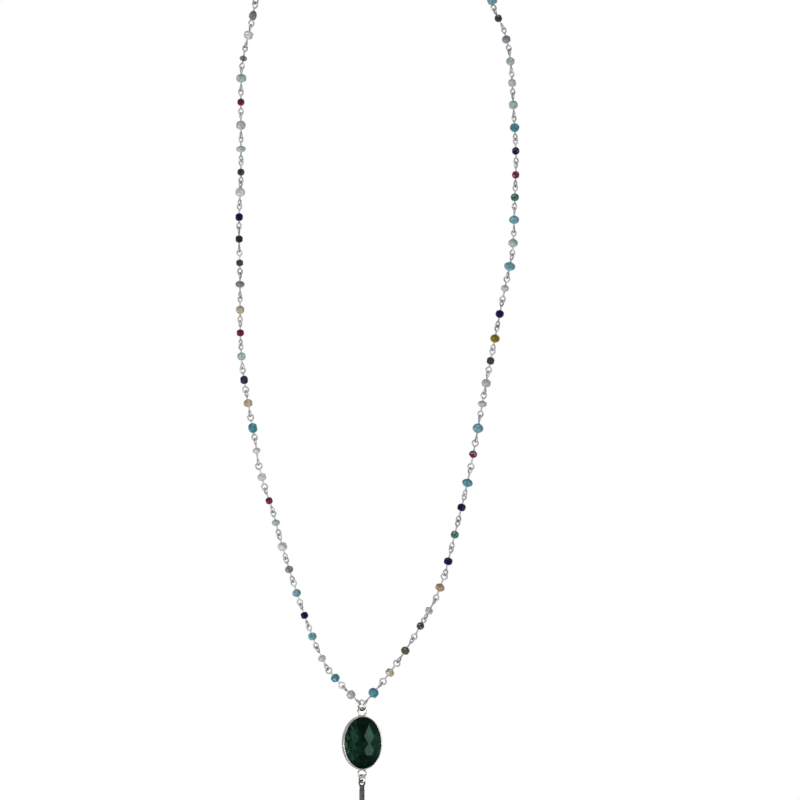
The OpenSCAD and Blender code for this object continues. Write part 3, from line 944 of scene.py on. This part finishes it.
def pendant_stone():
    """Dark green stone: lighter patches to the left, a few thin yellowish marks, facets with a painted shade
    each, of which the lightest have a grey painted reflection, and painted shade at its rim."""
    material, shader = new_material(
        "dark_green_stone", ior=1.6, specular_ior_level=0.099, specular_tint=(0.56, 1.0, 0.82, 1.0)
    )
    place = object_place(material, shift=(PENDANT_X, -LOOP_DEPTH, BEZEL_Z))
    clouds = cloudy(material, place, 0.22, detail=6, roughness=0.62, distortion=0.8)
    deep = ramp(material, clouds, [(0.34, "000a04"), (0.51, "02180e"), (0.70, "123a29")])

    drawn_out = object_place(material, shift=(PENDANT_X, 0, BEZEL_Z), stretch=(1, 1, 0.45))
    streaks = cloudy(material, drawn_out, 0.55, detail=5, roughness=0.6, distortion=1.2)
    leftward = ranged(material, coordinate(material, place, "X"), 0.0, PATCHES_X)
    patchy = worked_out(material, "MULTIPLY", leftward, ranged(material, streaks, *PATCH_RANGE))
    colour = mixed(material, patchy, deep, tint("2b5846"))

    marks = thin_lines(material, place, 0.5, STONE_VEIN, MARKS_SHARE, detail=4, distortion=2.2)
    outward = from_middle(material, MARKS_X, MARKS_Z, MARKS_W, MARKS_H)
    gathered = ranged(material, outward, *MARKS_FADE, 1.0, 0.0)
    colour = mixed(material, worked_out(material, "MULTIPLY", marks, gathered), colour, tint("4c7a4a"))

    # Each facet's painted shade and highlight, from the layer, darkens or lightens the stone's colour
    facet_shade = add_node(material, "ShaderNodeVertexColor", layer_name=FACET_SHADE_LAYER).outputs["Color"]
    colour = mixed(material, 1.0, colour, facet_shade, "MULTIPLY")
    # Grey painted reflection over the lightest facets
    reflection_veil = ranged(material, facet_shade, REFLECTION_VEIL_FROM, FACET_SHADES[1], 0.0, REFLECTION_VEIL_SHARE)
    colour = mixed(material, reflection_veil, colour, tint("3c4e47"))

    # Painted shade: the colour darkens towards the stone's rim, less at its sides
    outward = from_middle(material, 0, 0, STONE_A / RIM_SIDEWAYS, STONE_B)
    rim = ranged(material, outward, *RIM_SHADE_FADE, 1.0, RIM_SHADE_DEPTH)
    colour = mixed(material, 1.0, colour, rim, "MULTIPLY")
    polish = cloudy(material, place, 3.0, detail=3)
    gloss = ranged(material, polish, *NOISE_RANGE, 0.07, 0.16)
    return finished(material, shader, colour, gloss, polish, STONE_MARKS)


# Pieces

def build_strands():
    """Wires and beads of both strands and of the stretch round the neck."""
    left, left_seen = strand_links(-1, LEFT_HOOK, LEFT_FRONT, LEFT_CHART, LEFT_TURN)
    right, right_seen = strand_links(1, RIGHT_HOOK, RIGHT_FRONT, RIGHT_CHART, RIGHT_TURN)
    wire_silver = silver("wire_silver", "989898", "c3c3c4", 0.48, 0.6)
    stones = [bead_stone(name, *colours, **more) for name, (*colours, more) in BEAD_STONES.items()]
    stone_names = list(BEAD_STONES)
    shapes = cut_at_random(random_draws)
    nape = left[left_seen:] + right[right_seen:]
    for name, links in (("left", left[:left_seen]), ("right", right[:right_seen]), ("nape", nape)):
        wires = bmesh.new()
        beads = bmesh.new()
        for link in links:
            link_wire(wires, link, random_draws)
            shape = random_draws.choice(shapes[link["cut"]])
            add_bead(beads, link, shape, stone_names.index(link["stone"]), random_draws)
        node = name + "_strand"
        new_piece(name + "_wires", wires, "chain", [node], [wire_silver])
        new_piece(name + "_beads", beads, "chain", [node], stones)


def build_clasp(metal):
    """Barrel clasp: two halves that screw together, the right one knurled for the grip."""
    bm = bmesh.new()
    stand = Matrix.Rotation(math.pi / 2, 4, "Y")
    rings = []
    for radius, x, knurl in CLASP_PROFILE:
        ring = []
        for k, angle in enumerate(angles_round(CLASP_SIDES)):
            r = radius * (1 - knurl) if k % KNURL_STEP == 0 else radius
            ring.append(bm.verts.new(stand @ Vector((r * math.cos(angle), r * math.sin(angle), x))))
        rings.append(ring)
    skin(bm, zip(rings, rings[1:]))
    bm.faces.new(list(reversed(rings[0])))
    bm.faces.new(rings[-1])
    eye_x = CLASP_LENGTH / 2 + CLASP_EYE_R - CLASP_EYE_SINK
    for side in (-1, 1):
        ring_of_wire(bm, (side * eye_x, 0, 0), CLASP_EYE_R, CLASP_EYE_WIRE, 0)
        outward = Matrix.Rotation(side * math.pi / 2, 4, "Y")
        solder_saddle(bm, Matrix.Translation((side * CLASP_LENGTH / 2, 0, 0)) @ outward, CLASP_SADDLE)
    new_piece("clasp_barrel", bm, "chain", ["clasp"], [metal])


def build_pendant(metal):
    """Top ring, bezel with its eyes, stone, lower ring and drop."""
    bm = bmesh.new()
    ring_of_wire(bm, (PENDANT_X, -LOOP_DEPTH, RING_Z), TOP_RING_R, RING_WIRE, RING_TURN, TOP_SEAM)
    # The ring's dark colour is painted shade and its bright colour a painted highlight
    ring_silver = silver("ring_silver", "5c5a57", "f4f3f0", 0.3, 0.45, painted_shade_at=RING_Z)
    new_piece("top_jump_ring", bm, "chain", ["top_ring"], [ring_silver])

    hang = Matrix.Translation((PENDANT_X, -LOOP_DEPTH, 0)) @ Matrix.Rotation(PENDANT_TURN, 4, "Z")
    middle = hang @ Matrix.Translation((0, 0, BEZEL_Z))
    bm = bmesh.new()
    bezel_wall(bm, middle)
    for eye_z, radius, side in ((TOP_EYE_Z, TOP_EYE_R, 1), (BOTTOM_EYE_Z, BOTTOM_EYE_R, -1)):
        ring_of_wire(bm, (PENDANT_X, -LOOP_DEPTH, eye_z), radius, RING_WIRE, PENDANT_TURN)
        foot = middle @ Matrix.Translation((0, 0, side * (BEZEL_H / 2 - SADDLE_SINK)))
        if side < 0:
            foot = foot @ Matrix.Rotation(math.pi, 4, "X")
        solder_saddle(bm, foot, EYE_SADDLE)
    bmesh.ops.recalc_face_normals(bm, faces=bm.faces[:])
    new_piece("bezel_setting", bm, "pendant", ["bezel"], [metal])

    bm = cut_stone(middle, random_draws)
    new_piece("oval_stone", bm, "pendant", ["stone"], [pendant_stone()])

    bm = bmesh.new()
    ring_of_wire(bm, (PENDANT_X, -LOOP_DEPTH, LOWER_RING_Z), LOWER_RING_R, RING_WIRE, RING_TURN, LOWER_SEAM)
    new_piece("lower_jump_ring", bm, "hanging_drop", ["lower_ring"], [metal])

    bm = bmesh.new()
    ring_of_wire(bm, (PENDANT_X, -LOOP_DEPTH, DROP_EYE_Z), DROP_EYE_R, DROP_EYE_WIRE, PENDANT_TURN)
    foot = hang @ Matrix.Translation((0, 0, DROP_EYE_Z - DROP_EYE_R))
    lathe(bm, [(r * DROP_W / 2, z) for r, z in DROP_PROFILE], DROP_SIDES, foot)
    bmesh.ops.recalc_face_normals(bm, faces=bm.faces[:])
    new_piece("metal_drop", bm, "hanging_drop", ["drop"], [gunmetal()])


# Setting

def area_light(name, azimuth, elevation, width, height, radiance, distance):
    """A soft box that faces the object; azimuth is to the right of the camera's side, in degrees."""
    middle = Vector((0, -LOOP_DEPTH / 2, LIT_Z)) * MM
    a, e = math.radians(azimuth), math.radians(elevation)
    way = Vector((math.sin(a) * math.cos(e), -math.cos(a) * math.cos(e), math.sin(e)))
    light = bpy.data.lights.new(name, "AREA")
    light.shape = "RECTANGLE"
    light.size = 2 * distance * math.tan(math.radians(width) / 2)
    light.size_y = 2 * distance * math.tan(math.radians(height) / 2)
    light.energy = LIGHT_WATTS * radiance * light.size * light.size_y
    box = bpy.data.objects.new(name, light)
    bpy.context.scene.collection.objects.link(box)
    box.location = middle + way * distance
    box.rotation_mode = "QUATERNION"
    box.rotation_quaternion = way.to_track_quat("Z", "Y")
    box.visible_camera = False


def studio():
    """White surroundings that are bright behind the object and dim in front, soft boxes and a pale floor."""
    world = bpy.data.worlds.new("studio")
    bpy.context.scene.world = world
    world.use_nodes = True
    background = world.node_tree.nodes["Background"]
    way = add_node(world, "ShaderNodeTexCoord").outputs["Generated"]
    level = ranged(world, coordinate(world, way, "Y"), DIM_TO, BRIGHT_FROM, DIM_SIDE, BRIGHT_SIDE)
    seen = add_node(world, "ShaderNodeLightPath")
    white = add_node(world, "ShaderNodeMix", data_type="FLOAT")
    floats = [s for s in white.inputs if s.type == "VALUE"]
    world.node_tree.links.new(seen.outputs["Is Camera Ray"], floats[0])
    world.node_tree.links.new(level, floats[1])
    floats[2].default_value = 1.0
    result = [s for s in white.outputs if s.type == "VALUE"][0]
    world.node_tree.links.new(result, background.inputs["Strength"])
    background.inputs["Color"].default_value = (1, 1, 1, 1)

    for name, box in SOFT_BOXES.items():
        area_light(name, *box)

    material, shader = new_material("pale_floor", emission_color=(1, 1, 1, 1), emission_strength=FLOOR_GLOW)
    place = object_place(material)
    clouds = cloudy(material, place, 0.01, detail=4)
    colour = ramp(material, clouds, [(0.3, "f0f0ee"), (0.7, "f7f7f6")])
    finished(material, shader, colour, ranged(material, clouds, *NOISE_RANGE, 0.6, 0.8))
    bm = bmesh.new()
    bmesh.ops.create_circle(bm, cap_ends=True, segments=FLOOR_SIDES, radius=FLOOR_RADIUS)
    mesh = bpy.data.meshes.new("floor")
    bm.to_mesh(mesh)
    bm.free()
    mesh.materials.append(material)
    floor = bpy.data.objects.new("floor", mesh)
    floor.location = (0, 0, FLOOR_Z)
    floor.visible_glossy = False
    bpy.context.scene.collection.objects.link(floor)


def camera():
    """A long lens at the photograph's angle, level with the middle of the hanging part."""
    lens = bpy.data.cameras.new("camera")
    lens.sensor_width = SENSOR_WIDTH
    lens.lens = SENSOR_WIDTH * CAMERA_DISTANCE / FRAME_WIDTH
    lens.clip_end = SEEN_DEPTH
    eye = bpy.data.objects.new("camera", lens)
    eye.location = (FRAME_X * MM, -LOOP_DEPTH * MM - CAMERA_DISTANCE, FRAME_Z * MM)
    eye.rotation_euler = (math.pi / 2, 0, 0)
    bpy.context.scene.collection.objects.link(eye)
    bpy.context.scene.camera = eye
    bpy.context.scene.view_settings.view_transform = "Standard"


fine_silver = silver("fine_silver", "93918d", "c4c2be", 0.26, 0.4)
build_strands()
build_clasp(fine_silver)
build_pendant(fine_silver)
studio()
camera()
